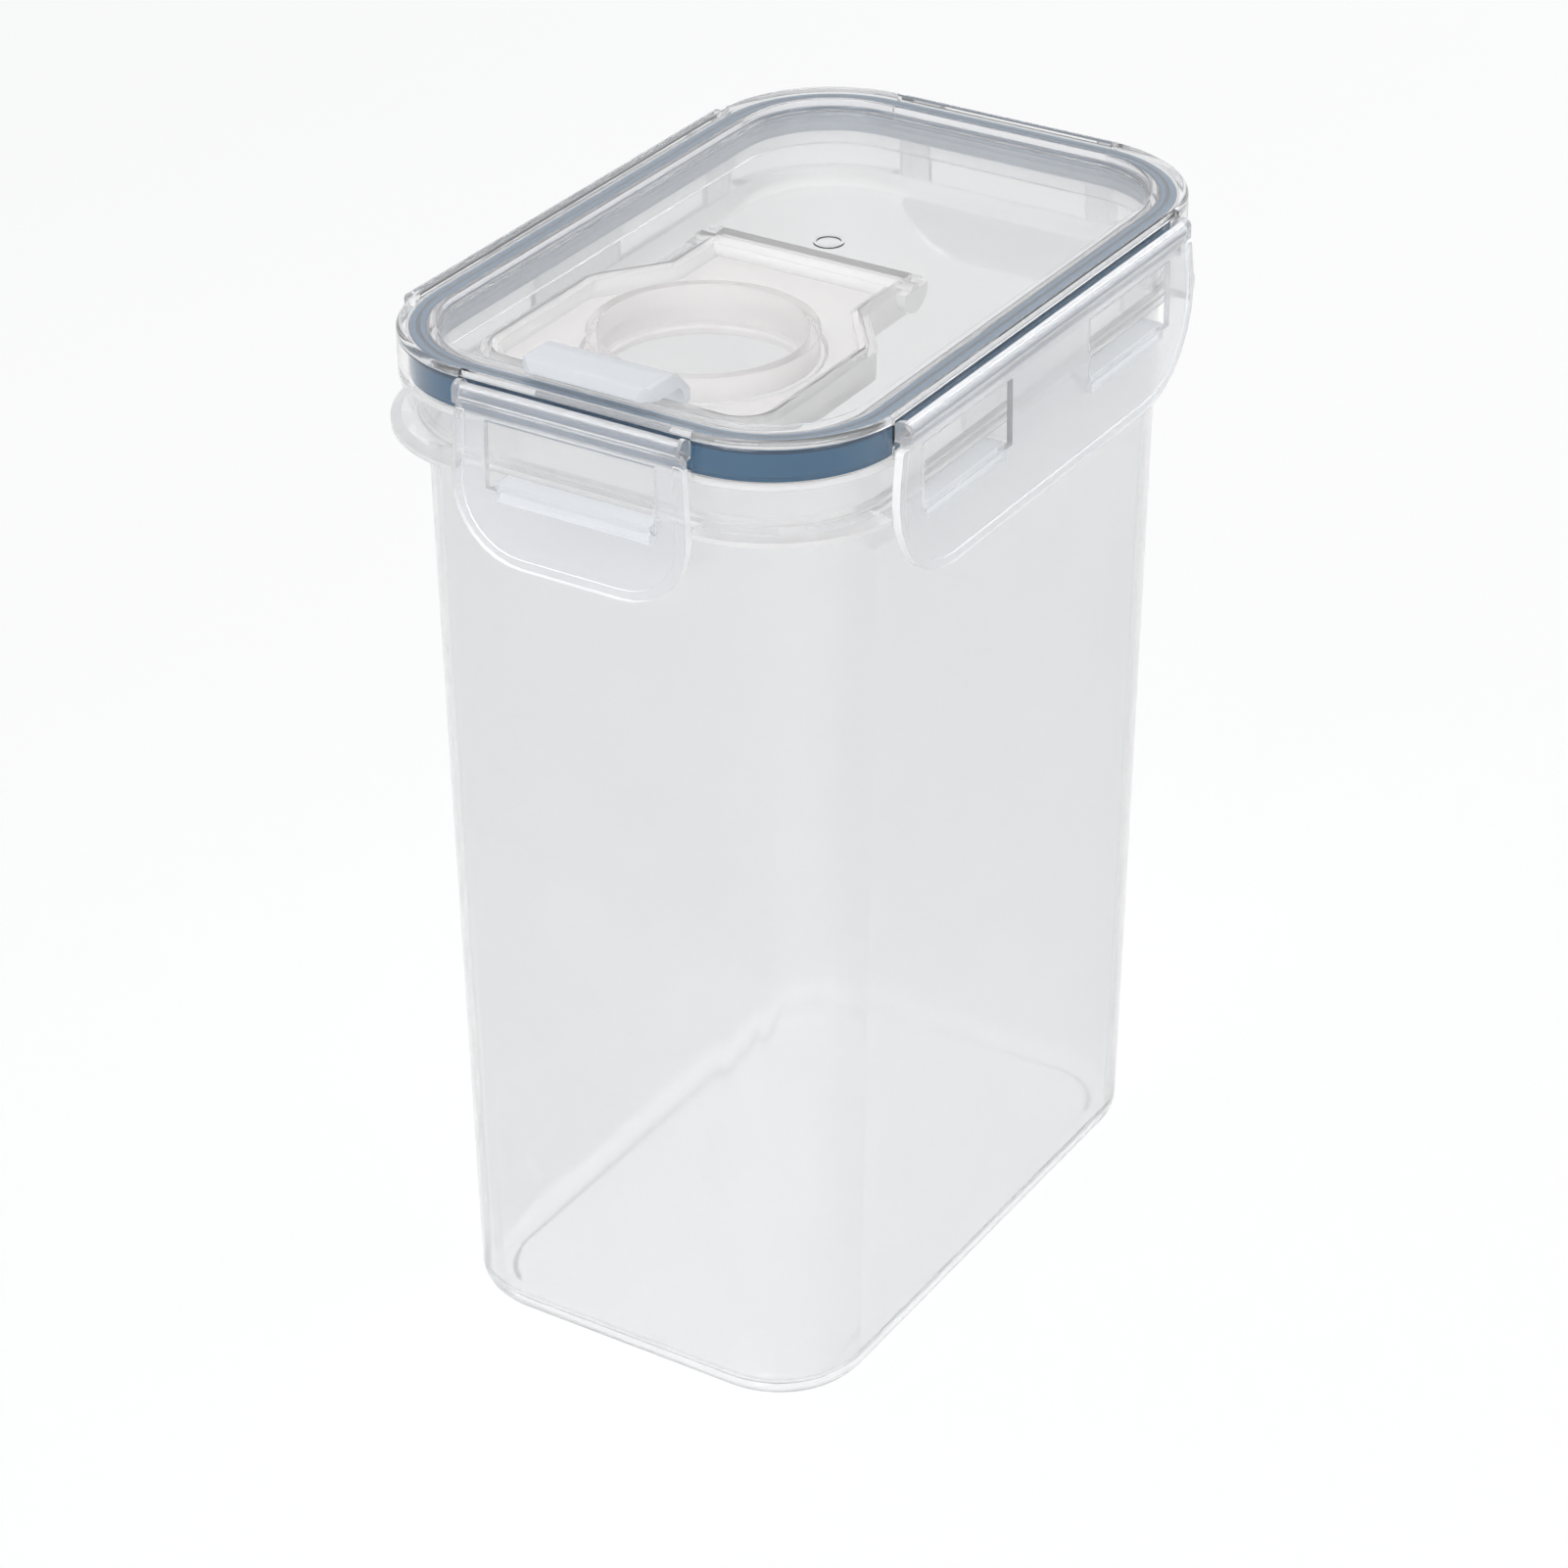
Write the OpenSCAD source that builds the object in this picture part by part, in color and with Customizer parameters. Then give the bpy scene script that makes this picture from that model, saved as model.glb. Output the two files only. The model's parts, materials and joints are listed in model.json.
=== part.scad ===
// Cereal container with a clip-on lid and a flip spout.
// Origin: middle of the foot. +Z up, the spout is at the -Y end, X is the narrow side.
// Every wall follows one rounded rectangle: its corner axes stand at (corner_x, corner_y),
// and a profile's first coordinate is the distance out from those axes.

/* [Container] */
// Outer width of the neck that the gasket grips
neck_w = 96.8; // [90:0.1:110]
// Outer length of the neck
neck_l = 148.2; // [142:0.1:170]
// Outer corner radius of the neck
neck_r = 23.7; // [22.5:0.1:26]
// Height of the rim above the table
rim_h = 207; // [150:1:240]
// Wall thickness of the neck
neck_t = 1.5; // [1.2:0.1:1.8]
// Wall thickness of the body
body_t = 1.6; // [1.2:0.1:2.2]
// How far the body lies inside the neck under the flange
shoulder_in = 1.55; // [1:0.05:2.2]
// How far each wall leans in between the flange and the foot
draft = 3.05; // [1:0.05:4]
// Radius of the edge round the foot
foot_edge_r = 4; // [2:0.5:6]
// Width of the foot ring that stands on the table
foot_ring_w = 3; // [2:0.5:5]
// Height of the floor's underside above the table
foot_recess = 1; // [0.6:0.1:1.6]
// Thickness of the floor
floor_t = 1.8; // [1.2:0.1:2.6]
// Radius of the edge inside, between floor and wall
inner_edge_r = 2.6; // [1.5:0.1:4]

/* [Flange] */
// Distance from the rim down to the top of the flange
flange_drop = 11; // [9:0.5:14]
// Height of the flange, bead and band together
flange_h = 1.7; // [1.4:0.1:3]
// Height of the small bead on top of the flange band
flange_bead_h = 0.7; // [0.5:0.1:0.9]
// How far the flange stands out from the neck
flange_out = 1.35; // [1.1:0.05:2]
// How far the bead lies inside the band
flange_bead_in = 0.7; // [0.4:0.05:1]

/* [Gasket] */
// Thickness of the gasket's outer leg
gasket_outer_t = 1.15; // [0.9:0.05:1.5]
// Thickness of the gasket's inner leg
gasket_inner_t = 0.7; // [0.5:0.05:1]
// Height of the gasket above the rim
gasket_web = 4.7; // [3.5:0.1:6]
// How far the legs reach below the rim
gasket_leg = 1.6; // [1:0.1:2.5]
// Clearance between the legs and the neck
gasket_gap = 0.2; // [0.15:0.05:0.3]
// Depth of the groove round the gasket's top
gasket_groove = 0.5; // [0.3:0.1:0.8]
// Depth of the step at the foot of the outer leg
gasket_lip = 0.25; // [0.1:0.05:0.4]

/* [Lid] */
// Thickness of the raised border above the gasket
border_t = 2; // [1.6:0.1:2.6]
// Thickness of the lid's outer wall
lid_wall_t = 1.85; // [1.6:0.05:2.4]
// Thickness of the wall that plugs the neck
plug_wall_t = 1.5; // [1.2:0.1:2]
// Depth of the plug wall below the lid's top
plug_depth = 11; // [9.5:0.5:13]
// Height of the lid's outer wall
skirt_h = 9.6; // [8:0.1:10.4]
// Depth of the panel below the border
panel_drop = 2; // [1:0.1:3]
// Thickness of the panel
panel_t = 1.8; // [1.4:0.1:2.4]
// Clearance between the gasket and the lid's outer wall
channel_gap = 0.2; // [0.1:0.05:0.3]
// Radius round the lid's top edge
lid_edge_r = 1.2; // [0.6:0.1:1.5]
// Outer radius of the moulding mark on the panel
mark_r = 3; // [2:0.1:4]
// Height of the moulding mark
mark_h = 0.3; // [0.2:0.05:0.5]
// Distance from the well's back wall to the middle of the mark
mark_back = 4.4; // [4.2:0.1:8]

/* [Latches] */
// How far a side latch's top reaches past the straight part of the wall, at each end
side_latch_over = 3.9; // [3:0.1:6]
// How far an end latch's top reaches past the straight part of the wall, at each end
end_latch_over = -0.3; // [-2:0.1:2]
// Angle at which the sides of a side latch spread downwards
side_latch_lean = 10; // [2:0.5:14]
// Angle at which the sides of an end latch spread downwards
end_latch_lean = 3; // [1:0.5:10]
// Distance from the hinge rod's axis to the latch's lower edge
latch_h = 32.1; // [28:0.1:36]
// Distance from the hinge rod's axis to the top corners of the latch panel
latch_top = 2.9; // [2.6:0.1:4]
// Thickness of the latch panel
latch_t = 1.2; // [1:0.05:1.5]
// Distance from the hinge rod's axis out to the panel's face
latch_out = 0.6; // [0.5:0.05:0.8]
// How far the latch leans out at its lower edge
latch_flare = 0.4; // [0.2:0.1:1.2]
// Radius of a side latch's lower corners
side_latch_r = 19.5; // [10:0.5:22]
// Radius of an end latch's lower corners
end_latch_r = 14.5; // [8:0.5:16]
// Width of the bead round the latch
latch_bead_w = 2.1; // [1.5:0.1:3]
// Height of the bead
latch_bead_h = 0.45; // [0.3:0.05:0.8]
// Distance from the top corner of a side latch to its window
side_window_in = 7.9; // [6.5:0.1:12]
// Distance from the top corner of an end latch to its window
end_window_in = 6.25; // [5:0.05:9]
// Width of the bar between the two windows of a side latch
window_bar = 29.5; // [10:0.5:40]
// Distance from the hinge rod's axis to the top of the windows
window_drop = 4.3; // [3.8:0.1:6]
// How far the windows reach below the tops of the hooks
window_low = 1; // [0.5:0.1:1.5]
// Height of the hooks
hook_h = 3.5; // [3:0.1:5]
// How far the hooks reach in under the flange
hook_bite = 1.1; // [0.6:0.05:1.2]
// Clearance between the hooks and the flange
hook_gap = 0.3; // [0.25:0.05:0.5]
// How much shorter than its window a hook is, at each end
hook_in = 1.6; // [0.5:0.1:2]

/* [Latch hinge] */
// Radius of the rods on the lid
rod_r = 0.95; // [0.85:0.01:1.05]
// Running clearance round the rods
rod_gap = 0.07; // [0.04:0.01:0.1]
// Radius of the latch's roll towards the lid
roll_r = 2.3; // [2.1:0.05:2.5]
// Distance from the rod's axis out to the roll's face
roll_out = 1.6; // [1.5:0.05:2]
// Distance from the rod's axis down to the roll's lower edge
roll_low = 1.9; // [1.7:0.1:2.2]
// How much shorter than the panel's top the roll of a side latch is, at each end
side_roll_in = 1.5; // [0.5:0.1:3]
// How much shorter than the panel's top the roll of an end latch is, at each end
end_roll_in = 0.1; // [0.1:0.1:2]
// Thickness of the cheeks that close the roll's ends
cheek_t = 1.1; // [0.8:0.1:1.6]
// Clearance between the cheeks and the rod's ends, and between the cheeks and the lid
cheek_gap = 0.4; // [0.3:0.05:0.6]
// Clearance between the roll and the lid
roll_gap = 0.1; // [0.1:0.01:0.3]
// Wall left in the lid behind a latch
hinge_wall_t = 0.7; // [0.7:0.05:1]
// Depth of the rods' axes below the lid's top
rod_drop = 3.4; // [3.2:0.1:4.2]
// Thickness of the web that carries a rod
web_t = 0.8; // [0.6:0.05:0.9]

/* [Spout] */
// Distance from the neck's front to the middle of the pouring hole
spout_in = 39.1; // [38:0.1:44]
// Radius of the pouring hole
pour_r = 19; // [15:0.1:19.4]
// Outer radius of the cap's plug
plug_r = 21.6; // [20.6:0.1:22.2]
// Thickness of the cap's plug
plug_t = 2; // [1.4:0.1:2.4]
// Clearance between the plug and the throat
throat_gap = 0.9; // [0.8:0.05:1.2]
// Thickness of the throat's wall
throat_t = 1.5; // [1.2:0.1:2]
// Depth of the throat below the floor of the well
throat_depth = 5.5; // [4.5:0.1:7]
// Height of the lip round the pouring hole
lip_h = 1.7; // [1.2:0.1:2]
// Depth of the well that the cap lies in
well_depth = 6; // [5:0.1:7]
// Wall thickness of the well
well_t = 1.5; // [1.2:0.1:2]
// Clearance between the cap and the well
well_gap = 0.6; // [0.4:0.05:0.8]

/* [Flip cap] */
// Half the width of the cap beside the hinge
cap_neck = 20.2; // [18:0.1:22]
// Half the full width of the cap
cap_half = 30; // [26:0.1:32]
// Distance from the hole's middle back to the narrow end of the cap's shoulder
cap_neck_y = 21; // [19:0.1:24]
// Distance from the hole's middle back to the wide end of the cap's shoulder
cap_wide_y = 8; // [4:0.1:12]
// Distance from the hole's middle to the cap's front edge
cap_front = 29.6; // [26:0.1:30]
// Radius of the cap's front corners
cap_corner_r = 7; // [4:0.5:9]
// Thickness of the cap
cap_t = 1.5; // [1.2:0.1:2]
// Thickness of the skirt under the cap's edge
cap_skirt_t = 1.2; // [1:0.1:1.6]
// Height of the skirt under the cap's edge
cap_skirt_h = 2.2; // [1:0.1:3]
// Distance from the hole's middle back to the hinge axis
hinge_back = 35.5; // [34:0.1:38]
// Radius of the hinge barrel
barrel_r = 2.3; // [2:0.05:2.6]
// Depth of the hinge axis below the cap's top
hinge_drop = 2.4; // [2.3:0.05:3]
// Distance from the hinge axis back to the well's wall
well_back = 4.1; // [3.9:0.1:6]
// Radius of the hinge pins
pin_r = 1.2; // [1:0.05:1.4]
// Running clearance round the hinge pins
pin_gap = 0.06; // [0.03:0.01:0.1]
// Length of each hinge pin
pin_l = 2.6; // [2:0.1:3]
// Thickness of the ears that hold the pins
ear_t = 3.5; // [3.2:0.1:5]
// Radius of the ears
ear_r = 4.2; // [3.6:0.1:4.6]
// Width of the slot that the pins snap in through
snap_w = 1.9; // [1.5:0.1:2.1]

/* [Cap seal] */
// Depth of the groove that the seal lies in
seal_groove = 0.5; // [0.3:0.05:0.8]
// How far the seal stands out from the plug
seal_out = 0.75; // [0.4:0.05:0.8]
// Height of the seal
seal_h = 2.4; // [1.6:0.1:3]
// Height of the plug below the seal
seal_up = 0.4; // [0.3:0.1:0.8]

/* [Pull tab] */
// Half the length of the tab at its foot
tab_half = 15.7; // [12:0.1:20]
// How far each end of the tab leans in up to its top
tab_slope = 2.4; // [1:0.1:5]
// Distance from the cap's front edge back to the foot of the tab
tab_back = 3.6; // [3:0.1:6]
// How far the tab's back leans forward up to its top
tab_back_lean = 3.4; // [1:0.1:4]
// Depth of the slope between the tab's back and its flat top
tab_crown = 3.4; // [2:0.1:4]
// How far the tab reaches past the cap's front edge, over the lid's border
tab_over = 10; // [8:0.1:11]
// Height of the tab above the cap
tab_h = 6.1; // [5:0.1:7]
// Radius of the tab's front corners
tab_corner_r = 5; // [3:0.1:6]
// Radius of the tab's back corners
tab_heel_r = 3; // [1:0.1:3.5]
// Clearance between the tab and the lid's border
tab_gap = 1.2; // [0.4:0.1:1.6]

/* [Hidden] */
$fn = 64;

// Corner axes of the rounded rectangle
corner_x = neck_w / 2 - neck_r;
corner_y = neck_l / 2 - neck_r;

// Heights of the container
flange_top = rim_h - flange_drop;
flange_bottom = flange_top - flange_h;
floor_top = foot_recess + floor_t;

// Distances from the corner axes
flange_r = neck_r + flange_out;
shoulder_r = neck_r - shoulder_in;
foot_r = shoulder_r - draft;
gasket_outer = neck_r + gasket_gap + gasket_outer_t;
gasket_inner = neck_r - neck_t - gasket_gap - gasket_inner_t;
channel_outer = gasket_outer + channel_gap;
channel_inner = gasket_inner - channel_gap / 2;
plug_inner = channel_inner - plug_wall_t;
lid_outer = channel_outer + lid_wall_t;
recess_face = channel_outer + hinge_wall_t;
rod_out = recess_face + roll_gap + roll_r;

// Heights of the gasket and the lid
seal_z = rim_h + gasket_gap;
gasket_top = seal_z + gasket_web;
leg_z = rim_h - gasket_leg;
channel_z = gasket_top + channel_gap / 2;
lid_top = channel_z + border_t;
panel_z = lid_top - panel_drop;
skirt_z = lid_top - skirt_h;
rod_z = lid_top - rod_drop;

// Places along Y on the lid, and heights in the well
pour_y = -(neck_l / 2 - spout_in);
hinge_y = pour_y + hinge_back;
well_wall_y = hinge_y + well_back;
front_y = pour_y - cap_front;
well_floor = panel_z - well_depth;
throat_z = well_floor - throat_depth;
throat_r = plug_r + throat_gap;
throat_flare = 0.5;
plug_z = throat_z + lip_h + 0.8;
hinge_z = panel_z - hinge_drop;
bore_r = pin_r + pin_gap;
ear_x = cap_neck + well_gap;

// Sizes of the latches
side_latch_half = corner_y + side_latch_over;
end_latch_half = corner_x + end_latch_over;
side_roll_half = side_latch_half - side_roll_in;
end_roll_half = end_latch_half - end_roll_in;
hook_v = flange_bottom - hook_gap - rod_z;
hook_tip = flange_r - hook_bite - rod_out;

eps = 0.01;

// A vector of length one along v
function unit(v) = v / norm(v);

// v turned by the angle a
function turned(v, a) = [v[0] * cos(a) - v[1] * sin(a), v[0] * sin(a) + v[1] * cos(a)];

// The corner b between a and c, rounded with radius r in n steps
function corner(a, b, c, r, n) =
    r == 0 ? [b] :
    let (u = unit(a - b), v = unit(c - b), half = acos(u * v) / 2,
         centre = b + unit(u + v) * r / sin(half),
         first = b + u * r / tan(half) - centre,
         sweep = 180 - 2 * half,
         way = u[0] * v[1] - u[1] * v[0] > 0 ? -1 : 1)
    [for (i = [0:n]) centre + turned(first, way * sweep * i / n)];

// An outline from [x, y, corner radius] triples
function outline(pts, n = 6) =
    let (last = len(pts), flat = [for (p = pts) [p[0], p[1]]])
    [for (i = [0:last - 1])
        each corner(flat[(i + last - 1) % last], flat[i], flat[(i + 1) % last], pts[i][2], n)];

// A profile in XZ carried round the rounded rectangle
module carried_round() {
    for (k = [0:3]) {
        along_x = k % 2 == 0 ? corner_x : corner_y;
        along_y = k % 2 == 0 ? corner_y : corner_x;
        rotate([0, 0, 90 * k]) translate([along_x, along_y, 0]) {
            rotate_extrude(angle = 90) children();
            rotate([90, 0, 0]) linear_extrude(2 * along_y) children();
        }
    }
}

// A slab between the corner axes
module middle(z0, z1) {
    translate([-corner_x, -corner_y, z0]) cube([2 * corner_x, 2 * corner_y, z1 - z0]);
}

// A profile in XZ drawn out along Y, centred
module drawn(length) {
    rotate([90, 0, 0]) linear_extrude(length, center = true) children();
}

// An outline in YZ drawn out along X from x0 to x1
module pressed(x0, x1) {
    translate([x0, 0, 0]) rotate([90, 0, 90]) linear_extrude(x1 - x0) children();
}

// Distance of the body's outer face from the corner axes at height z
function body_r(z) = foot_r + draft * z / flange_bottom;

// Section of the container's floor, wall, flange and neck
container_profile = outline([
    [0, foot_recess, 0],
    [foot_r - foot_edge_r - foot_ring_w, foot_recess, 0.4],
    [foot_r - foot_edge_r - foot_ring_w + foot_recess, 0, 0],
    [foot_r, 0, foot_edge_r],
    [shoulder_r, flange_bottom, 0],
    [flange_r, flange_bottom, 0.4],
    [flange_r, flange_top - flange_bead_h, 0.4],
    [flange_r - flange_bead_in, flange_top - flange_bead_h, 0],
    [flange_r - flange_bead_in, flange_top, 0],
    [neck_r, flange_top, 0.5],
    [neck_r, rim_h, 0.5],
    [neck_r - neck_t, rim_h, 0.5],
    [neck_r - neck_t, flange_top + 1, 1.5],
    [body_r(flange_bottom - 1.5) - body_t, flange_bottom - 1.5, 3],
    [body_r(floor_top) - body_t, floor_top, inner_edge_r],
    [0, floor_top, 0]]);

module container_body() {
    color([0.93, 0.94, 0.95]) {
        carried_round() polygon(container_profile);
        middle(foot_recess, floor_top);
    }
}

groove_x = (gasket_inner + gasket_outer) / 2 - 0.15;

// Section of the gasket, an upturned channel over the rim
gasket_profile = outline([
    [gasket_outer - gasket_lip, leg_z, 0.3],
    [gasket_outer - gasket_lip, seal_z - 0.9, 0],
    [gasket_outer, seal_z - 0.7, 0.1],
    [gasket_outer, gasket_top, 0.9],
    [groove_x + 0.4, gasket_top, 0.1],
    [groove_x, gasket_top - gasket_groove, 0.1],
    [groove_x - 0.4, gasket_top, 0.1],
    [gasket_inner, gasket_top, 0.7],
    [gasket_inner, leg_z, 0.2],
    [gasket_inner + gasket_inner_t, leg_z, 0.2],
    [gasket_inner + gasket_inner_t, seal_z, 0.1],
    [neck_r + gasket_gap, seal_z, 0.1],
    [neck_r + gasket_gap, leg_z, 0.2]], 4);

module lid_gasket() {
    color([0.27, 0.4, 0.5]) carried_round() polygon(gasket_profile);
}

// Section of the lid's panel, plug wall, border and outer wall
lid_profile = outline([
    [0, panel_z - panel_t, 0],
    [plug_inner, panel_z - panel_t, 0.5],
    [plug_inner, lid_top - plug_depth, 0.4],
    [channel_inner, lid_top - plug_depth, 0.4],
    [channel_inner, channel_z, 0.3],
    [channel_outer, channel_z, 0.5],
    [channel_outer, skirt_z, 0.2],
    [lid_outer, skirt_z, 0.4],
    [lid_outer, lid_top, lid_edge_r],
    [plug_inner, lid_top, 0.6],
    [plug_inner - 0.4, panel_z, 0.5],
    [0, panel_z, 0]]);

// How much an outline of the cap moves along its straight sides when it grows by one
shoulder_lean = tan(atan2(cap_half - cap_neck, cap_neck_y - cap_wide_y) / 2);

// Outline of the cap, grown by g, from its front edge back to y_back
function cap_outline(g, y_back) =
    let (half = [
        [cap_neck + g, y_back, 0],
        [cap_neck + g, pour_y + cap_neck_y + g * shoulder_lean, 3 - g],
        [cap_half + g, pour_y + cap_wide_y + g * shoulder_lean, 4 + g],
        [cap_half + g, front_y - g, cap_corner_r + g]])
    outline(concat(half, [for (i = [3:-1:0]) [-half[i][0], half[i][1], half[i][2]]]));

// The well's block below the panel, before it is hollowed
module well_block() {
    translate([0, 0, well_floor - well_t]) linear_extrude(well_depth + well_t - panel_t / 2)
        polygon(cap_outline(well_gap + well_t, well_wall_y + well_t));
}

// Ears at the two ends of the cap's hinge, flush with the panel
module ears() {
    for (s = [-1, 1]) translate([s * (ear_x + ear_t / 2), hinge_y, hinge_z]) intersection() {
        union() {
            rotate([0, 90, 0]) cylinder(h = ear_t, r = ear_r, center = true);
            translate([-ear_t / 2, -ear_r, 0]) cube([ear_t, 2 * ear_r, hinge_drop]);
        }
        translate([-ear_t, -2 * ear_r, -2 * ear_r]) cube([2 * ear_t, 4 * ear_r, hinge_drop + 2 * ear_r]);
    }
}

// Bores for the cap's pins and the slots that they snap in through
module pin_seats() {
    seat_l = pin_l + 2 * well_gap;
    for (s = [-1, 1]) translate([s * (cap_neck + seat_l / 2), hinge_y, hinge_z]) {
        rotate([0, 90, 0]) cylinder(h = seat_l, r = bore_r, center = true);
        translate([-seat_l / 2, -snap_w / 2, 0]) cube([seat_l, snap_w, hinge_drop + 1]);
    }
}

// Wall and lip round the pouring hole
module throat() {
    outer = throat_r + throat_flare + throat_t;
    translate([0, pour_y, 0]) rotate_extrude() polygon(outline([
        [pour_r, throat_z, 0.4],
        [outer - throat_flare, throat_z, 0.4],
        [outer, well_floor, 0],
        [throat_r + throat_flare, well_floor, 0],
        [throat_r, throat_z + lip_h, 0.3],
        [pour_r, throat_z + lip_h, 0.6]]));
}

// The rod that a latch turns on and the web that carries it
module hinge_rod(length) {
    reach = (roll_r + roll_gap + hinge_wall_t / 2) * sqrt(2);
    drawn(length) {
        circle(rod_r);
        rotate(225) translate([0, -web_t / 2]) square([reach, web_t]);
    }
}

// Children placed on the hinge axis of each latch: s is 0 right, 1 back, 2 left, 3 front
module at_latch(s) {
    out = (s % 2 == 0 ? corner_x : corner_y) + rod_out;
    rotate([0, 0, 90 * s]) translate([out, 0, rod_z]) children();
}

// Room that is cut out of the lid's edge for a latch
module latch_recess(length) {
    deep = rod_out - recess_face;
    translate([-deep, -length / 2, skirt_z - rod_z - 1]) cube([2 * deep + 2, length, skirt_h + 2]);
}

module lid_cover() {
    color([0.86, 0.88, 0.9]) {
        difference() {
            union() {
                carried_round() polygon(lid_profile);
                middle(panel_z - panel_t, panel_z);
                well_block();
                ears();
            }
            translate([0, 0, well_floor]) linear_extrude(well_depth + 1)
                polygon(cap_outline(well_gap, well_wall_y));
            translate([0, pour_y, well_floor - 2 * well_t])
                cylinder(h = 3 * well_t, r = throat_r + throat_flare + throat_t / 2);
            pin_seats();
            for (s = [0:3])
                at_latch(s) latch_recess(2 * ((s % 2 == 0 ? side_roll_half : end_roll_half) + cheek_gap));
        }
        throat();
        translate([0, well_wall_y + mark_back, panel_z]) difference() {
            translate([0, 0, -eps]) cylinder(h = mark_h + eps, r = mark_r);
            cylinder(h = mark_h + 1, r = mark_r - 0.6);
        }
        for (s = [0:3]) at_latch(s)
            hinge_rod(2 * ((s % 2 == 0 ? side_roll_half : end_roll_half) - cheek_t - cheek_gap));
    }
}

// The latch panel's outer face at height v, measured from the rod's axis
function latch_face(v) = latch_out - latch_flare * (v + roll_low) / (latch_h - roll_low);

// Section of a latch panel, from its lower edge up into the roll
panel_profile = [
    [latch_out, -roll_low + 0.4],
    [latch_face(-latch_h), -latch_h],
    [latch_face(-latch_h) - latch_t, -latch_h],
    [latch_out - latch_t, -roll_low],
    [-0.3, -1.15],
    [0.3, -1.15]];

// Section of the roll's outside: its back is square below and round above, where it swings past the lid
roll_profile = outline([
    [roll_out, -roll_low, 0.5],
    [roll_out, roll_r, roll_out],
    [-roll_r, roll_r, roll_r - 0.05],
    [-roll_r, -roll_low, 0.3]], 8);

// Front view of a latch panel up to the height top, drawn in by g: half is its half width at latch_top
function latch_outline(half, lean, r, g, top) =
    let (side = half - g / cos(lean),
         x_top = side - (latch_top + top) * tan(lean),
         x_low = side + (latch_h - g - latch_top) * tan(lean))
    outline([
        [-x_top, top, 0.9],
        [-x_low, g - latch_h, r - g],
        [x_low, g - latch_h, r - g],
        [x_top, top, 0.9]], 8);

// A latch on its own hinge axis: X out, Y along it, Z up
module latch(half, lean, r, roll_half, window_in, bar) {
    low = hook_v - window_low;
    span = half - window_in;
    windows = bar == 0 ? [[-span, span]] : [[-span, -bar / 2], [bar / 2, span]];
    wide = 2 * (half + latch_h);
    face_low = latch_face(-latch_h);
    color([0.9, 0.92, 0.94]) {
        drawn(2 * roll_half) difference() {
            polygon(roll_profile);
            circle(rod_r + rod_gap);
            polygon(concat([[0, 0]], [for (a = [85:25:260]) 2 * roll_r * [cos(a), sin(a)]]));
        }
        for (s = [-1, 1])
            translate([0, s * (roll_half - cheek_t / 2), 0]) drawn(cheek_t) polygon(roll_profile);
        difference() {
            union() {
                intersection() {
                    drawn(wide) polygon(panel_profile);
                    pressed(-2, face_low + 1) polygon(latch_outline(half, lean, r, 0, -latch_top));
                }
                drawn(2 * roll_half) intersection() {
                    polygon(panel_profile);
                    translate([-2, -latch_top - 1.5]) square([4, latch_top]);
                }
            }
            for (w = windows)
                translate([-1, w[0], low]) cube([face_low + 2, w[1] - w[0], -window_drop - low]);
        }
        intersection() {
            drawn(wide) polygon([
                [latch_face(-latch_top) + latch_bead_h, -latch_top],
                [face_low + latch_bead_h, -latch_h],
                [face_low - latch_t / 2, -latch_h],
                [latch_face(-latch_top) - latch_t / 2, -latch_top]]);
            difference() {
                pressed(-2, face_low + 2) polygon(latch_outline(half, lean, r, 0, -latch_top));
                pressed(-3, face_low + 3) polygon(latch_outline(half, lean, r, latch_bead_w, 3));
            }
        }
        for (w = windows)
            translate([0, (w[0] + w[1]) / 2, 0]) drawn(w[1] - w[0] - 2 * hook_in) polygon([
                [hook_tip, hook_v],
                [hook_tip, hook_v - 1],
                [hook_tip + 1.8, hook_v - hook_h],
                [latch_face(hook_v - hook_h) - latch_t / 2, hook_v - hook_h],
                [latch_face(hook_v) - latch_t / 2, hook_v]]);
    }
}

module side_latch() {
    latch(side_latch_half, side_latch_lean, side_latch_r, side_roll_half, side_window_in, window_bar);
}

module end_latch() {
    latch(end_latch_half, end_latch_lean, end_latch_r, end_roll_half, end_window_in, 0);
}

module latch_right() { at_latch(0) side_latch(); }
module latch_back() { at_latch(1) end_latch(); }
module latch_left() { at_latch(2) side_latch(); }
module latch_front() { at_latch(3) end_latch(); }

module flip_cap() {
    color([0.88, 0.9, 0.92]) {
        translate([0, 0, panel_z - cap_t]) linear_extrude(cap_t) polygon(cap_outline(0, hinge_y));
        translate([0, 0, panel_z - cap_t - cap_skirt_h]) linear_extrude(cap_skirt_h + cap_t / 2)
            difference() {
                polygon(cap_outline(0, hinge_y));
                polygon(cap_outline(-cap_skirt_t, hinge_y + 1));
            }
        translate([0, hinge_y, hinge_z]) rotate([0, 90, 0]) {
            cylinder(h = 2 * cap_neck, r = barrel_r, center = true);
            cylinder(h = 2 * (cap_neck + pin_l), r = pin_r, center = true);
        }
        translate([0, pour_y, 0]) rotate_extrude() polygon([
            [plug_r - plug_t, plug_z],
            [plug_r, plug_z],
            [plug_r, plug_z + seal_up],
            [plug_r - seal_groove, plug_z + seal_up],
            [plug_r - seal_groove, plug_z + seal_up + seal_h],
            [plug_r, plug_z + seal_up + seal_h],
            [plug_r, panel_z - cap_t / 2],
            [plug_r - plug_t, panel_z - cap_t / 2]]);
    }
}

module cap_seal() {
    low = plug_z + seal_up;
    color([0.85, 0.87, 0.88]) translate([0, pour_y, 0]) rotate_extrude() polygon(outline([
        [plug_r - seal_groove, low, 0],
        [plug_r + seal_out, low, 0.6],
        [plug_r + seal_out, low + seal_h, 0.6],
        [plug_r - seal_groove, low + seal_h, 0]]));
}

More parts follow.
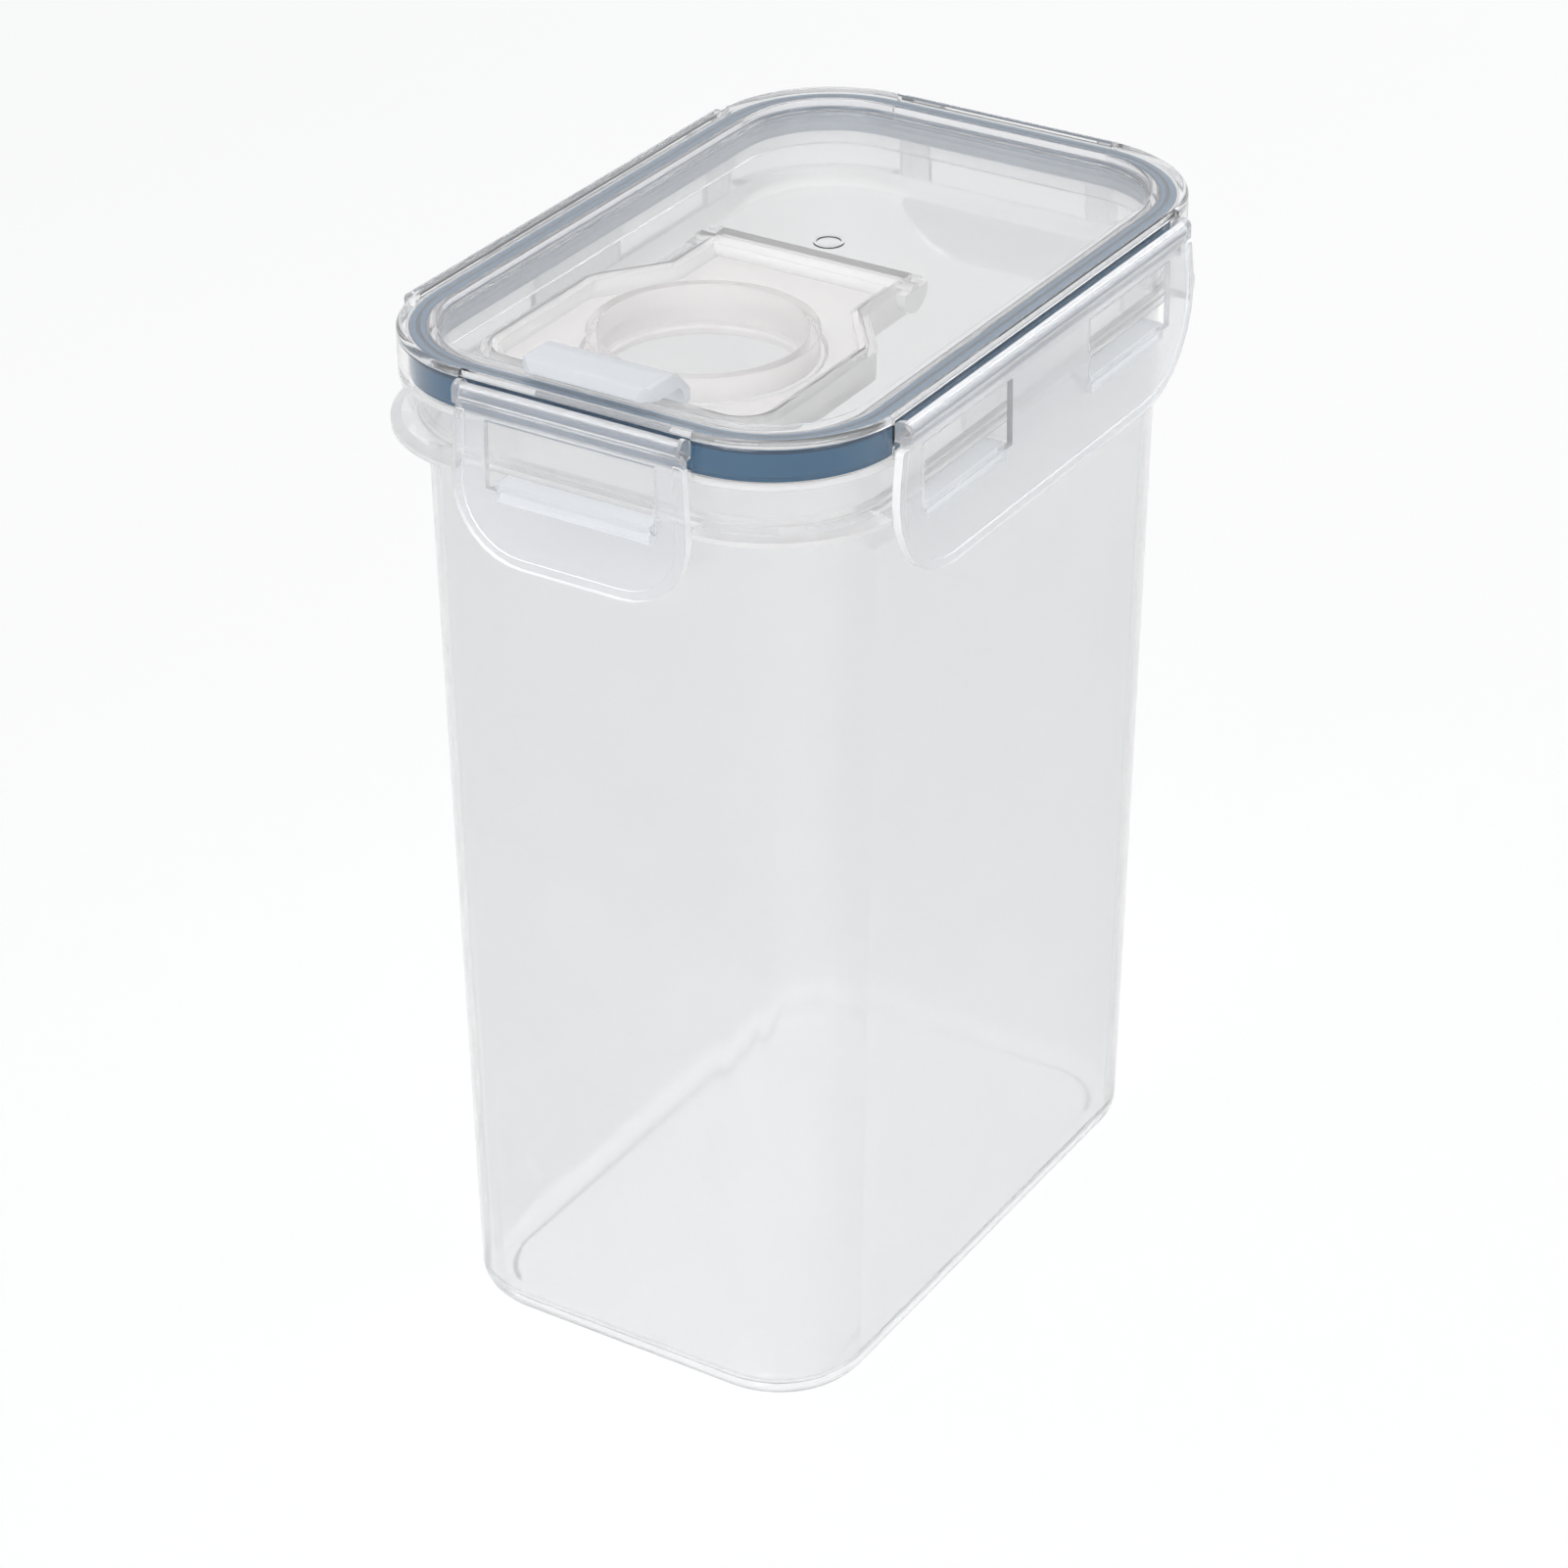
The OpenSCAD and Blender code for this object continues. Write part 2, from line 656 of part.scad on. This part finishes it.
module cap_pull_tab() {
    back = front_y + tab_back;
    tip = front_y - tab_over;
    top = panel_z + tab_h;
    crown = back - tab_back_lean;
    color([0.95, 0.96, 0.97]) intersection() {
        pressed(-tab_half, tab_half) polygon(outline([
            [back, panel_z, 0],
            [front_y, panel_z, 0],
            [front_y, lid_top + tab_gap, 1.2],
            [tip, lid_top + tab_gap, 0.4],
            [tip + 0.7, top, 0.9],
            [crown - tab_crown, top, 2],
            [crown, top - 0.8, 0.8]], 4));
        translate([0, (back + tip) / 2, 0]) drawn(back - tip + 2) polygon(outline([
            [-tab_half, panel_z, 0],
            [tab_half, panel_z, 0],
            [tab_half - tab_slope, top, 1.2],
            [tab_slope - tab_half, top, 1.2]], 4));
        translate([0, 0, panel_z]) linear_extrude(tab_h) polygon(outline([
            [-tab_half, back, tab_heel_r],
            [tab_slope / 2 - tab_half, tip, tab_corner_r],
            [tab_half - tab_slope / 2, tip, tab_corner_r],
            [tab_half, back, tab_heel_r]]));
    }
}

container_body();
lid_cover();
lid_gasket();
latch_front();
latch_back();
latch_left();
latch_right();
flip_cap();
cap_seal();
cap_pull_tab();
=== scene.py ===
"""Looks of a cereal container with a clip-on lid and a flip spout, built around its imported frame."""

import json
import math

import bmesh
import bpy
from mathutils import Matrix, Vector


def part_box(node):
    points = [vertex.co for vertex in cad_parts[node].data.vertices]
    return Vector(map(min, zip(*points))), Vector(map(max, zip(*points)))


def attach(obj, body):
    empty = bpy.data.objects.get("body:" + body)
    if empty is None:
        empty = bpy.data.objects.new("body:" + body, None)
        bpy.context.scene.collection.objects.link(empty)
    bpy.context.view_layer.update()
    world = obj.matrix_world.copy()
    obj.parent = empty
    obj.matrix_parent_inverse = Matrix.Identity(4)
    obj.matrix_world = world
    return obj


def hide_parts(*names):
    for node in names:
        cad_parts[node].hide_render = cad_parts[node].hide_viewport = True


# View of the photograph
CAMERA_PLACE = (0.42187, -0.67972, 0.56396)
CAMERA_AZIMUTH = math.radians(32.14)
CAMERA_ELEVATION = math.radians(30.251)
CAMERA_ROLL = math.radians(-0.366)
CAMERA_LENS = 105.74
SENSOR_WIDTH = 36.0

# Finishing of the moulded edges, in metres
MERGE_DISTANCE = 2e-6
SMOOTH_ANGLE = math.radians(32)
EDGE_WIDTH = 0.00015
MILLIMETRE = 0.001

# Container's neck and flange, in metres from the corner axes
CORNER_X = 0.0247
CORNER_Y = 0.0504
NECK_R = 0.0237
NECK_T = 0.0015
FLANGE_DROP = 0.011
FLANGE_H = 0.0017
WALL_FROM_MIDDLE = 0.04

# Lips that carry the flange out to the latches at the four corners
LIP_R = 0.0289
LIP_FLAT_R = 0.0269
LIP_T = 0.001
LIP_FROM_X = 0.02565
LIP_FROM_Y = 0.0562
LIP_STEPS = 24

# Latch panels, measured from their hinge axes
PANEL_OUT = 0.0006
PANEL_FLARE = 0.0004
PANEL_FROM = 0.0019
PANEL_TO = 0.0321
PANEL_T = 0.0012
ROLL_LOW = 0.0029
BEAD_MARGIN = 0.0001
HOOK_LOW = 0.010
WINDOW_LOW = 0.0185
WINDOW_FRAME = 0.0042
EDGE_TILT = 0.6

# Lid's well and throat
WELL_HALF = 0.034
WELL_BACK = 0.0095
WELL_FRONT = 0.031
WALL_SLOPE = 0.6
WELL_DEPTH = 0.006
WELL_WALL_DROP = 0.003
PANEL_SKIN = 0.0002
THROAT_RING_R = 0.0262
BORDER_ROUND = 0.0012
PLUG_WALL = (0.0193, 0.0216)

# Flip cap's plate and the plug under it
CAP_PLATE = 0.0016
CAP_PLUG_R = 0.022

# Gasket's top and its rounded edges
GASKET_TOP_SLOPE = 0.9
GASKET_SIDE_SLOPE = 0.12
GASKET_ROUND = 0.00095

# Light of the studio
WORLD_COLOR = (0.97, 0.98, 1.0, 1)
WORLD_LIGHT = 0.58
WORLD_MIRRORED = 0.88
FLOOR_WHITE = 0.64


def add_camera():
    """The camera, turned as the photograph was taken."""
    data = bpy.data.cameras.new("photo_camera")
    data.lens = CAMERA_LENS
    data.sensor_width = SENSOR_WIDTH
    data.clip_start = 0.01
    data.clip_end = 20.0
    az, el, roll = CAMERA_AZIMUTH, CAMERA_ELEVATION, CAMERA_ROLL
    back = Vector((math.sin(az) * math.cos(el), -math.cos(az) * math.cos(el), math.sin(el)))
    level = Vector((math.cos(az), math.sin(az), 0.0))
    upright = back.cross(level)
    right = level * math.cos(roll) + upright * math.sin(roll)
    up = upright * math.cos(roll) - level * math.sin(roll)
    turn = Matrix((right, up, back)).transposed().to_4x4()
    camera = bpy.data.objects.new("photo_camera", data)
    camera.matrix_world = Matrix.Translation(CAMERA_PLACE) @ turn
    bpy.context.collection.objects.link(camera)
    bpy.context.scene.camera = camera


def add_lamp(name, place, target, width, height, watts):
    """A soft rectangular lamp at place that faces target."""
    data = bpy.data.lights.new(name, "AREA")
    data.shape = "RECTANGLE"
    data.size = width
    data.size_y = height
    data.energy = watts
    lamp = bpy.data.objects.new(name, data)
    lamp.location = place
    lamp.rotation_euler = (Vector(target) - Vector(place)).to_track_quat("-Z", "Y").to_euler()
    bpy.context.collection.objects.link(lamp)


def new_material(name):
    """A material with nodes, and its shader and output."""
    material = bpy.data.materials.new(name)
    material.use_nodes = True
    nodes = material.node_tree.nodes
    return material, nodes, material.node_tree.links, nodes["Principled BSDF"]


def seen_directly(nodes, links):
    """A mask of one where the camera, a reflection or a refraction looks, and zero for plain light."""
    rays = nodes.new("ShaderNodeLightPath")
    first = nodes.new("ShaderNodeMath")
    first.operation = "MAXIMUM"
    links.new(rays.outputs["Is Camera Ray"], first.inputs[0])
    links.new(rays.outputs["Is Transmission Ray"], first.inputs[1])
    both = nodes.new("ShaderNodeMath")
    both.operation = "MAXIMUM"
    links.new(first.outputs[0], both.inputs[0])
    links.new(rays.outputs["Is Glossy Ray"], both.inputs[1])
    return both.outputs[0]


def add_world():
    """A pale world: softer as light on the object than as what its surfaces mirror."""
    world = bpy.data.worlds.new("studio")
    world.use_nodes = True
    nodes, links = world.node_tree.nodes, world.node_tree.links
    light = nodes["Background"]
    light.inputs["Color"].default_value = WORLD_COLOR
    light.inputs["Strength"].default_value = WORLD_LIGHT
    mirrored = nodes.new("ShaderNodeBackground")
    mirrored.inputs["Color"].default_value = WORLD_COLOR
    mirrored.inputs["Strength"].default_value = WORLD_MIRRORED
    mix = nodes.new("ShaderNodeMixShader")
    links.new(seen_directly(nodes, links), mix.inputs["Fac"])
    links.new(light.outputs["Background"], mix.inputs[1])
    links.new(mirrored.outputs["Background"], mix.inputs[2])
    links.new(mix.outputs["Shader"], nodes["World Output"].inputs["Surface"])
    bpy.context.scene.world = world


def add_floor():
    """A plain pale floor that keeps the object's shadow."""
    bm = bmesh.new()
    bmesh.ops.create_grid(bm, x_segments=1, y_segments=1, size=4.0)
    bmesh.ops.translate(bm, verts=bm.verts, vec=(0, 0, -0.0001))
    mesh = bpy.data.meshes.new("floor")
    bm.to_mesh(mesh)
    bm.free()
    floor = bpy.data.objects.new("floor", mesh)
    bpy.context.collection.objects.link(floor)
    material, nodes, links, shader = new_material("pale_floor")
    shader.inputs["Base Color"].default_value = (0.96, 0.96, 0.96, 1)
    shader.inputs["Roughness"].default_value = 0.9
    glow = nodes.new("ShaderNodeEmission")
    glow.inputs["Strength"].default_value = 1.0
    share = nodes.new("ShaderNodeMath")
    share.operation = "MULTIPLY"
    links.new(seen_directly(nodes, links), share.inputs[0])
    share.inputs[1].default_value = FLOOR_WHITE
    mix = nodes.new("ShaderNodeMixShader")
    links.new(share.outputs[0], mix.inputs["Fac"])
    links.new(shader.outputs["BSDF"], mix.inputs[1])
    links.new(glow.outputs["Emission"], mix.inputs[2])
    links.new(mix.outputs["Shader"], nodes["Material Output"].inputs["Surface"])
    mesh.materials.append(material)


def add_lamps():
    """Soft lamps: key before the spout's end, fill beside a long wall, and one behind."""
    middle = (0, 0, 0.15)
    add_lamp("key", (0.02, -1.35, 1.3), middle, 0.8, 0.7, 11)
    add_lamp("fill", (1.4, -0.35, 1.2), middle, 0.75, 0.5, 6)
    add_lamp("back", (0.35, 1.5, 1.4), middle, 1.4, 0.8, 9)


def new_group(name, inputs, output):
    """A shader node group with value inputs (name, default) and one output (name, type)."""
    group = bpy.data.node_groups.new(name, "ShaderNodeTree")
    group.interface.new_socket("Coordinates", in_out="INPUT", socket_type="NodeSocketVector")
    for label, value in inputs:
        kind = "NodeSocketColor" if isinstance(value, tuple) else "NodeSocketFloat"
        socket = group.interface.new_socket(label, in_out="INPUT", socket_type=kind)
        socket.default_value = value
    group.interface.new_socket(output[0], in_out="OUTPUT", socket_type=output[1])
    start = group.nodes.new("NodeGroupInput")
    end = group.nodes.new("NodeGroupOutput")
    return group, group.nodes, group.links, start.outputs, end.inputs[output[0]]


def make_grain():
    """Fine uneven gloss of a moulded surface: a roughness between Low and High."""
    group, nodes, links, given, result = new_group(
        "fine_grain", [("Scale", 900.0), ("Low", 0.1), ("High", 0.2)], ("Roughness", "NodeSocketFloat"))
    noise = nodes.new("ShaderNodeTexNoise")
    noise.inputs["Detail"].default_value = 3.0
    spread = nodes.new("ShaderNodeMapRange")
    spread.inputs["From Min"].default_value = 0.3
    spread.inputs["From Max"].default_value = 0.7
    links.new(given["Coordinates"], noise.inputs["Vector"])
    links.new(given["Scale"], noise.inputs["Scale"])
    links.new(noise.outputs["Fac"], spread.inputs["Value"])
    links.new(given["Low"], spread.inputs["To Min"])
    links.new(given["High"], spread.inputs["To Max"])
    links.new(spread.outputs["Result"], result)
    return group


def make_ripple():
    """Slow waves that moulding leaves in a flat face, as a height."""
    group, nodes, links, given, result = new_group(
        "moulded_ripple", [("Scale", 60.0), ("Fine", 0.1)], ("Height", "NodeSocketFloat"))
    wave = nodes.new("ShaderNodeTexNoise")
    wave.inputs["Detail"].default_value = 0.5
    pores = nodes.new("ShaderNodeTexNoise")
    pores.inputs["Scale"].default_value = 2200.0
    both = nodes.new("ShaderNodeMath")
    both.operation = "MULTIPLY_ADD"
    links.new(given["Coordinates"], wave.inputs["Vector"])
    links.new(given["Coordinates"], pores.inputs["Vector"])
    links.new(given["Scale"], wave.inputs["Scale"])
    links.new(pores.outputs["Fac"], both.inputs[0])
    links.new(given["Fine"], both.inputs[1])
    links.new(wave.outputs["Fac"], both.inputs[2])
    links.new(both.outputs[0], result)
    return group


def make_tint():
    """Two near shades in soft clouds."""
    group, nodes, links, given, result = new_group(
        "cloudy_tint", [("Scale", 40.0), ("Shade", (0.9, 0.9, 0.9, 1)), ("Light", (1, 1, 1, 1))],
        ("Color", "NodeSocketColor"))
    noise = nodes.new("ShaderNodeTexNoise")
    noise.inputs["Detail"].default_value = 4.0
    mix = nodes.new("ShaderNodeMix")
    mix.data_type = "RGBA"
    links.new(given["Coordinates"], noise.inputs["Vector"])
    links.new(given["Scale"], noise.inputs["Scale"])
    links.new(noise.outputs["Fac"], mix.inputs["Factor"])
    links.new(given["Shade"], mix.inputs["A"])
    links.new(given["Light"], mix.inputs["B"])
    links.new(mix.outputs["Result"], result)
    return group


def placed(nodes, links, group, **values):
    """A group node that reads Object coordinates, with its own values."""
    node = nodes.new("ShaderNodeGroup")
    node.node_tree = group
    place = nodes.new("ShaderNodeTexCoord")
    links.new(place.outputs["Object"], node.inputs["Coordinates"])
    for label, value in values.items():
        node.inputs[label].default_value = value
    return node.outputs[0]


def surface_detail(nodes, links, shader, shades, gloss, grain, ripple, depth):
    """Colour clouds, uneven gloss and moulded waves on a shader."""
    shade, light = shades
    links.new(placed(nodes, links, TINT, Shade=(*shade, 1), Light=(*light, 1)), shader.inputs["Base Color"])
    low, high = gloss
    links.new(placed(nodes, links, GRAIN, Scale=grain, Low=low, High=high), shader.inputs["Roughness"])
    push = nodes.new("ShaderNodeBump")
    push.inputs["Distance"].default_value = depth
    links.new(placed(nodes, links, RIPPLE, Scale=ripple), push.inputs["Height"])
    links.new(push.outputs["Normal"], shader.inputs["Normal"])


def clear_plastic(name, shades, gloss, transmission, ior=1.45, shine=0.4, sheen=0.0, depth=0.00002):
    """Moulded plastic that light passes through."""
    material, nodes, links, shader = new_material(name)
    surface_detail(nodes, links, shader, shades, gloss, 900.0, 60.0, depth)
    shader.inputs["IOR"].default_value = ior
    shader.inputs["Specular IOR Level"].default_value = shine
    shader.inputs["Transmission Weight"].default_value = transmission
    shader.inputs["Sheen Weight"].default_value = sheen
    shader.inputs["Sheen Roughness"].default_value = 0.4
    # Lamps shine through it, so its shadow stays light
    rays = nodes.new("ShaderNodeLightPath")
    through = nodes.new("ShaderNodeBsdfTransparent")
    through.inputs["Color"].default_value = (0.95, 0.955, 0.96, 1)
    mix = nodes.new("ShaderNodeMixShader")
    links.new(rays.outputs["Is Shadow Ray"], mix.inputs["Fac"])
    links.new(shader.outputs["BSDF"], mix.inputs[1])
    links.new(through.outputs["BSDF"], mix.inputs[2])
    links.new(mix.outputs["Shader"], nodes["Material Output"].inputs["Surface"])
    return material


def silicone(name, shades, gloss):
    """Satin silicone with faint clouds and a fine grain."""
    material, nodes, links, shader = new_material(name)
    surface_detail(nodes, links, shader, shades, gloss, 1400.0, 90.0, 0.00001)
    shader.inputs["IOR"].default_value = 1.43
    shader.inputs["Specular IOR Level"].default_value = 0.5
    return material


def tidy_mesh(bm):
    """Merges a loose CAD mesh and its flat faces."""
    bmesh.ops.remove_doubles(bm, verts=bm.verts, dist=MERGE_DISTANCE)
    bmesh.ops.dissolve_limit(bm, angle_limit=math.radians(0.3), verts=bm.verts, edges=bm.edges)


def corner_lips(rim_z):
    """The flange's lips at the four corners, which reach out to the faces of the latches."""
    top = rim_z - FLANGE_DROP
    low = top - FLANGE_H
    section = [(NECK_R - NECK_T / 2, low), (LIP_R, low), (LIP_R, low + LIP_T), (LIP_FLAT_R, top),
               (NECK_R - NECK_T / 2, top)]
    bm = bmesh.new()
    verts = [bm.verts.new((CORNER_X + r, CORNER_Y, z)) for r, z in section]
    edges = [bm.edges.new((verts[i - 1], verts[i])) for i in range(len(verts))]
    bmesh.ops.spin(bm, geom=verts + edges, cent=(CORNER_X, CORNER_Y, 0), axis=(0, 0, 1),
                   angle=math.radians(90), steps=LIP_STEPS)
    for place, across in (((LIP_FROM_X, 0, 0), (-1, 0, 0)), ((0, LIP_FROM_Y, 0), (0, -1, 0))):
        bmesh.ops.bisect_plane(bm, geom=bm.verts[:] + bm.edges[:] + bm.faces[:], plane_co=place,
                               plane_no=across, clear_outer=True)
    bmesh.ops.holes_fill(bm, edges=[edge for edge in bm.edges if edge.is_boundary])
    for flip in ((-1, 1, 1), (1, -1, 1)):
        twin = bmesh.ops.duplicate(bm, geom=bm.verts[:] + bm.edges[:] + bm.faces[:])["geom"]
        bmesh.ops.scale(bm, vec=flip, verts=[item for item in twin if isinstance(item, bmesh.types.BMVert)])
    bmesh.ops.recalc_face_normals(bm, faces=bm.faces)
    mesh = bpy.data.meshes.new("corner_lips")
    bm.to_mesh(mesh)
    bm.free()
    return mesh


def united(mesh, other):
    """The union of two closed meshes as one mesh."""
    pair = [bpy.data.objects.new(part.name, part) for part in (mesh, other)]
    for part in pair:
        bpy.context.collection.objects.link(part)
    union = pair[0].modifiers.new("union", "BOOLEAN")
    union.operation = "UNION"
    union.solver = "EXACT"
    union.object = pair[1]
    result = bpy.data.meshes.new_from_object(pair[0].evaluated_get(bpy.context.evaluated_depsgraph_get()))
    for part in pair:
        bpy.data.objects.remove(part)
    return result


def dressed(node, name, body, materials, zone=None, added=None, cuts=()):
    """A finished copy of a frame node: joined, smooth and with broken edges.

    zone gives a face's material from its middle and its normal, added is a mesh that is united with it, and
    cuts are the heights at which its faces are divided so that a zone can end there.
    """
    mesh = frame["nodes"][node].data.copy()
    mesh.name = name
    bm = bmesh.new()
    bm.from_mesh(mesh)
    tidy_mesh(bm)
    bm.to_mesh(mesh)
    bm.free()
    if added:
        mesh = united(mesh, added)
    mesh.materials.clear()
    for material in materials:
        mesh.materials.append(material)
    bm = bmesh.new()
    bm.from_mesh(mesh)
    tidy_mesh(bm)
    for height in cuts:
        bmesh.ops.bisect_plane(bm, geom=bm.verts[:] + bm.edges[:] + bm.faces[:], plane_co=(0, 0, height),
                               plane_no=(0, 0, 1))
    for face in bm.faces:
        face.smooth = True
        face.material_index = zone(face.calc_center_median(), face.normal) if zone else 0
    bm.to_mesh(mesh)
    bm.free()
    mesh.set_sharp_from_angle(angle=SMOOTH_ANGLE)
    piece = bpy.data.objects.new(name, mesh)
    bpy.context.collection.objects.link(piece)
    edges = piece.modifiers.new("broken_edges", "BEVEL")
    edges.width = EDGE_WIDTH
    edges.segments = 2
    edges.limit_method = "ANGLE"
    edges.angle_limit = SMOOTH_ANGLE
    edges.harden_normals = True
    even = piece.modifiers.new("even_shading", "WEIGHTED_NORMAL")
    even.keep_sharp = True
    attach(piece, body)
    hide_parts(node)
    return piece


def body_zone(place, normal):
    """The thick flange and the rim look milkier than the walls."""
    at_flange = FLANGE_LOW - MILLIMETRE < place.z < FLANGE_TOP + MILLIMETRE
    return 1 if at_flange and place.xy.length > WALL_FROM_MIDDLE else 0


def reach(place):
    """How far a place lies out from the rounded rectangle of the corner axes."""
    return math.hypot(max(abs(place.x) - CORNER_X, 0), max(abs(place.y) - CORNER_Y, 0))


def lid_zone(place, normal):
    """The walls of the throat and the well, the ears, the skirt and the plug's wall look milky."""
    if place.z < SKIRT_TOP and reach(place) > NECK_R:
        return 2
    if PLUG_WALL[0] < reach(place) < PLUG_WALL[1] and abs(normal.z) < WALL_SLOPE:
        return 4
    in_well = abs(place.x) < WELL_HALF and place.y < WELL_BACK and place.z < PANEL_TOP - PANEL_SKIN
    from_pour = (place.xy - POUR.xy).length
    if in_well and place.z < WELL_FLOOR + MILLIMETRE and from_pour < THROAT_RING_R:
        return 1
    upright = place.z > WELL_FLOOR - WELL_WALL_DROP and abs(normal.z) < WALL_SLOPE
    if in_well and upright and place.y > POUR.y - WELL_FRONT:
        return 2
    return 3 if place.z > LID_TOP - BORDER_ROUND else 0


def gasket_zone(place, normal):
    """Painted shade: the sides of the ring get a deeper blue than its top, and its rounded top edges the
    darkest blue, by the way each face points.
    """
    if place.z > GASKET_TOP - GASKET_ROUND and GASKET_SIDE_SLOPE < normal.z < GASKET_TOP_SLOPE:
        return 2
    return 1 if abs(normal.z) < GASKET_TOP_SLOPE else 0


def cap_zone(place, normal):
    """The plug, the skirt and the hinge barrel of the cap look milky."""
    under_plate = place.z < PANEL_TOP - CAP_PLATE
    if under_plate and (place.xy - POUR.xy).length < CAP_PLUG_R:
        return 1
    return 2 if under_plate or abs(normal.z) < WALL_SLOPE else 0


def latch_zone(side):
    """The hooks of a latch look whiter than its panel, and the sideways faces of its bead and edges below
    the roll get a painted highlight in near-white plastic.
    """
    joints = frame["record"]["behaviour"]["joints"]
    joint = next(item for item in joints if item["name"] == f"{side}_latch_swing")
    axis = Vector(joint["pos_m"])
    across = Vector((axis.x, axis.y, 0)).normalized()
    along = Vector((-across.y, across.x, 0))
    lowest, highest = (Vector(corner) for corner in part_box(f"latch_{side}"))
    frame_half = abs((highest - lowest).dot(along)) / 2 - WINDOW_FRAME

    def zone(place, normal):
        out = (place - axis).dot(across)
        down = axis.z - place.z
        face = PANEL_OUT + PANEL_FLARE * (down - PANEL_FROM) / (PANEL_TO - PANEL_FROM)
        at_window = abs((place - axis).dot(along)) < frame_half and down < WINDOW_LOW
        if down > HOOK_LOW and out < face - PANEL_T - BEAD_MARGIN:
            return 2
        # Painted highlight: sideways faces below the roll and outside the window take the near-white bead
        # material
        return 1 if down > ROLL_LOW and abs(normal.dot(across)) < EDGE_TILT and not at_window else 0

    return zone


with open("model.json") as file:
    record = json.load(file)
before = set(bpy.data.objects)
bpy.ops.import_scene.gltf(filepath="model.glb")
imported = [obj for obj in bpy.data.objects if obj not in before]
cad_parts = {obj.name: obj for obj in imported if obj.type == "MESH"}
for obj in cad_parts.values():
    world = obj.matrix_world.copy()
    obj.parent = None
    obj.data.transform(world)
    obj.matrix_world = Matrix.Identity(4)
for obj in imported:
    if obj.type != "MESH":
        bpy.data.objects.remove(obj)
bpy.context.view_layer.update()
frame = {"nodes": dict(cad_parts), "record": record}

scene = bpy.context.scene
scene.view_settings.view_transform = "Standard"
scene.cycles.max_bounces = 32
scene.cycles.transmission_bounces = 28
scene.cycles.transparent_max_bounces = 32

add_camera()
add_world()
add_floor()
add_lamps()

GRAIN, RIPPLE, TINT = make_grain(), make_ripple(), make_tint()
body_clear = clear_plastic("milky_clear_body", ((0.87, 0.875, 0.88), (0.9, 0.9, 0.9)), (0.06, 0.12), 0.84)
lid_clear = clear_plastic("clear_lid", ((0.93, 0.93, 0.925), (0.95, 0.95, 0.945)), (0.02, 0.05), 1.0,
                          ior=1.42, shine=0.35)
border_haze = clear_plastic("hazy_border", ((0.88, 0.885, 0.89), (0.92, 0.92, 0.92)), (0.05, 0.1), 0.86,
                            ior=1.42, shine=0.35, depth=0.00001)
plug_haze = clear_plastic("hazy_plug_wall", ((0.88, 0.885, 0.9), (0.91, 0.915, 0.925)), (0.04, 0.08), 0.76,
                          ior=1.42, shine=0.35, depth=0.00001)
ring_milky = clear_plastic("milky_ring", ((0.82, 0.8, 0.795), (0.86, 0.84, 0.835)),
                           (0.1, 0.16), 0.45)
edge_milky = clear_plastic("milky_edges", ((0.82, 0.815, 0.815), (0.86, 0.855, 0.855)), (0.06, 0.11), 0.42,
                           ior=1.42, shine=0.3, depth=0.00001)
latch_clear = clear_plastic("milky_latch", ((0.87, 0.88, 0.9), (0.91, 0.915, 0.925)), (0.12, 0.2), 0.84,
                            depth=0.00001)
# Painted highlight: near-white, nearly opaque plastic on the sideways faces of the latch beads and edges,
# standing in for the bright lines along them
bead_painted_highlight = clear_plastic("painted_highlight_bead", ((0.93, 0.935, 0.945), (0.97, 0.975, 0.98)), (0.08, 0.14), 0.15)
hook_white = clear_plastic("frosted_hook", ((0.8, 0.81, 0.83), (0.85, 0.86, 0.87)), (0.35, 0.5), 0.35)
frosted = clear_plastic("frosted_tab", ((0.74, 0.76, 0.785), (0.79, 0.8, 0.82)), (0.4, 0.55), 0.4)
seal_clear = clear_plastic("white_seal", ((0.82, 0.82, 0.83), (0.86, 0.86, 0.865)), (0.3, 0.45), 0.5)
gasket_blue = silicone("blue_grey_silicone", ((0.016, 0.085, 0.165), (0.026, 0.106, 0.2)), (0.14, 0.22))
# Painted shade: the ring's sides take a slightly deeper copy of its blue, and its rounded top edges a much
# darker one
gasket_side_shade = silicone("blue_silicone_side_shade", ((0.015, 0.08, 0.162), (0.022, 0.1, 0.195)), (0.14, 0.22))
gasket_edge_shade = silicone("blue_edge_painted_shade", ((0.004, 0.026, 0.06), (0.007, 0.036, 0.078)), (0.14, 0.22))

POUR = sum((Vector(corner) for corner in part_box("cap_seal")), Vector()) / 2
PANEL_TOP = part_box("flip_cap")[1][2]
WELL_FLOOR = PANEL_TOP - WELL_DEPTH
LID_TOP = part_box("lid_cover")[1][2]
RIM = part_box("container_body")[1][2]
FLANGE_TOP = RIM - FLANGE_DROP
FLANGE_LOW = FLANGE_TOP - FLANGE_H
SKIRT_TOP, GASKET_TOP = (corner[2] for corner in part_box("lid_gasket"))

dressed("container_body", "container", "container", [body_clear, edge_milky],
        body_zone, corner_lips(RIM))
dressed("lid_cover", "lid", "lid", [lid_clear, ring_milky, edge_milky, border_haze, plug_haze],
        lid_zone, cuts=(SKIRT_TOP,))
dressed("lid_gasket", "gasket", "lid", [gasket_blue, gasket_side_shade, gasket_edge_shade],
        gasket_zone)
for side in ("front", "back", "left", "right"):
    dressed(f"latch_{side}", f"{side}_clip", f"{side}_latch",
            [latch_clear, bead_painted_highlight, hook_white], latch_zone(side))
dressed("flip_cap", "spout_lid", "spout_cap", [lid_clear, ring_milky, edge_milky], cap_zone)
dressed("cap_seal", "spout_seal", "spout_cap", [seal_clear])
dressed("cap_pull_tab", "spout_tab", "spout_cap", [frosted])
